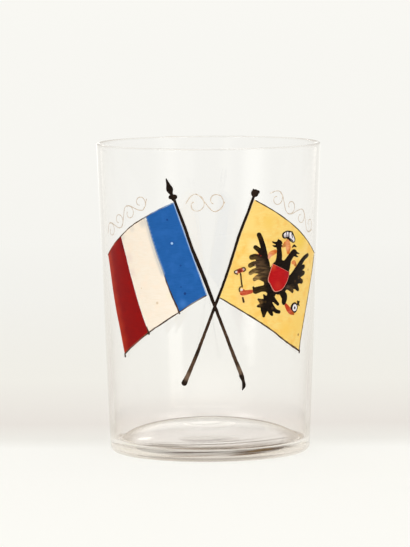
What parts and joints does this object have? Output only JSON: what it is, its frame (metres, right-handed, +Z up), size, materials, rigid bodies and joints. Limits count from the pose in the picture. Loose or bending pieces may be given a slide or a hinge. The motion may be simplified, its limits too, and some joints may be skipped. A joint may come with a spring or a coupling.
{
  "type": "drinking glass",
  "caption": "Clear blown tumbler, slightly flared, with a kicked-up floor and crossed flags in fired enamel on its front.",
  "frame": {"origin": "middle of the ring the glass stands on, at the height of the table", "axes": "+Z up along the glass's axis, the painted front towards -Y, +X to its right seen from the front"},
  "size_m": [0.0796, 0.0796, 0.11],
  "materials": {
    "clear_glass": "clear, polished by the fire, faintly wavy",
    "blue_enamel": "fired gloss, brushed",
    "cream_enamel": "fired gloss, brushed",
    "red_enamel": "fired gloss, brushed",
    "brown_enamel": "fired pen line",
    "yellow_enamel": "fired gloss, brushed",
    "black_enamel": "fired gloss, brushed",
    "pink_enamel": "fired gloss",
    "scarlet_enamel": "fired gloss",
    "pearl_enamel": "fired gloss",
    "orange_enamel": "fired gloss",
    "vermilion_enamel": "fired gloss",
    "worn_gilding": "thin fired gilding, worn matt"
  },
  "bodies": {
    "root": {"glass_tumbler": "clear_glass", "blue_stripe": "blue_enamel", "white_stripe": "cream_enamel", "red_stripe": "red_enamel", "tricolour_top_line": "brown_enamel", "tricolour_foot_line": "brown_enamel", "blue_white_line": "brown_enamel", "yellow_field": "yellow_enamel", "yellow_top_line": "brown_enamel", "yellow_fly_line": "brown_enamel", "yellow_foot_line": "brown_enamel", "spear_pole": "black_enamel", "ball_pole": "black_enamel", "black_eagle": "black_enamel", "right_head_crown": "black_enamel", "shield_edging": "pink_enamel", "red_shield": "scarlet_enamel", "crown_ground": "black_enamel", "crown_left_lobe": "pearl_enamel", "crown_right_lobe": "pearl_enamel", "left_ribbon": "orange_enamel", "middle_ribbon": "orange_enamel", "right_ribbon": "orange_enamel", "left_claw": "vermilion_enamel", "right_claw": "vermilion_enamel", "sceptre_head": "vermilion_enamel", "sceptre_upper_rod": "brown_enamel", "sceptre_lower_rod": "brown_enamel", "orb_ground": "black_enamel", "orb_ring": "pearl_enamel", "left_gilt_scroll": "worn_gilding", "right_gilt_scroll": "worn_gilding", "middle_gilt_scroll": "worn_gilding"}
  },
  "joints": []
}
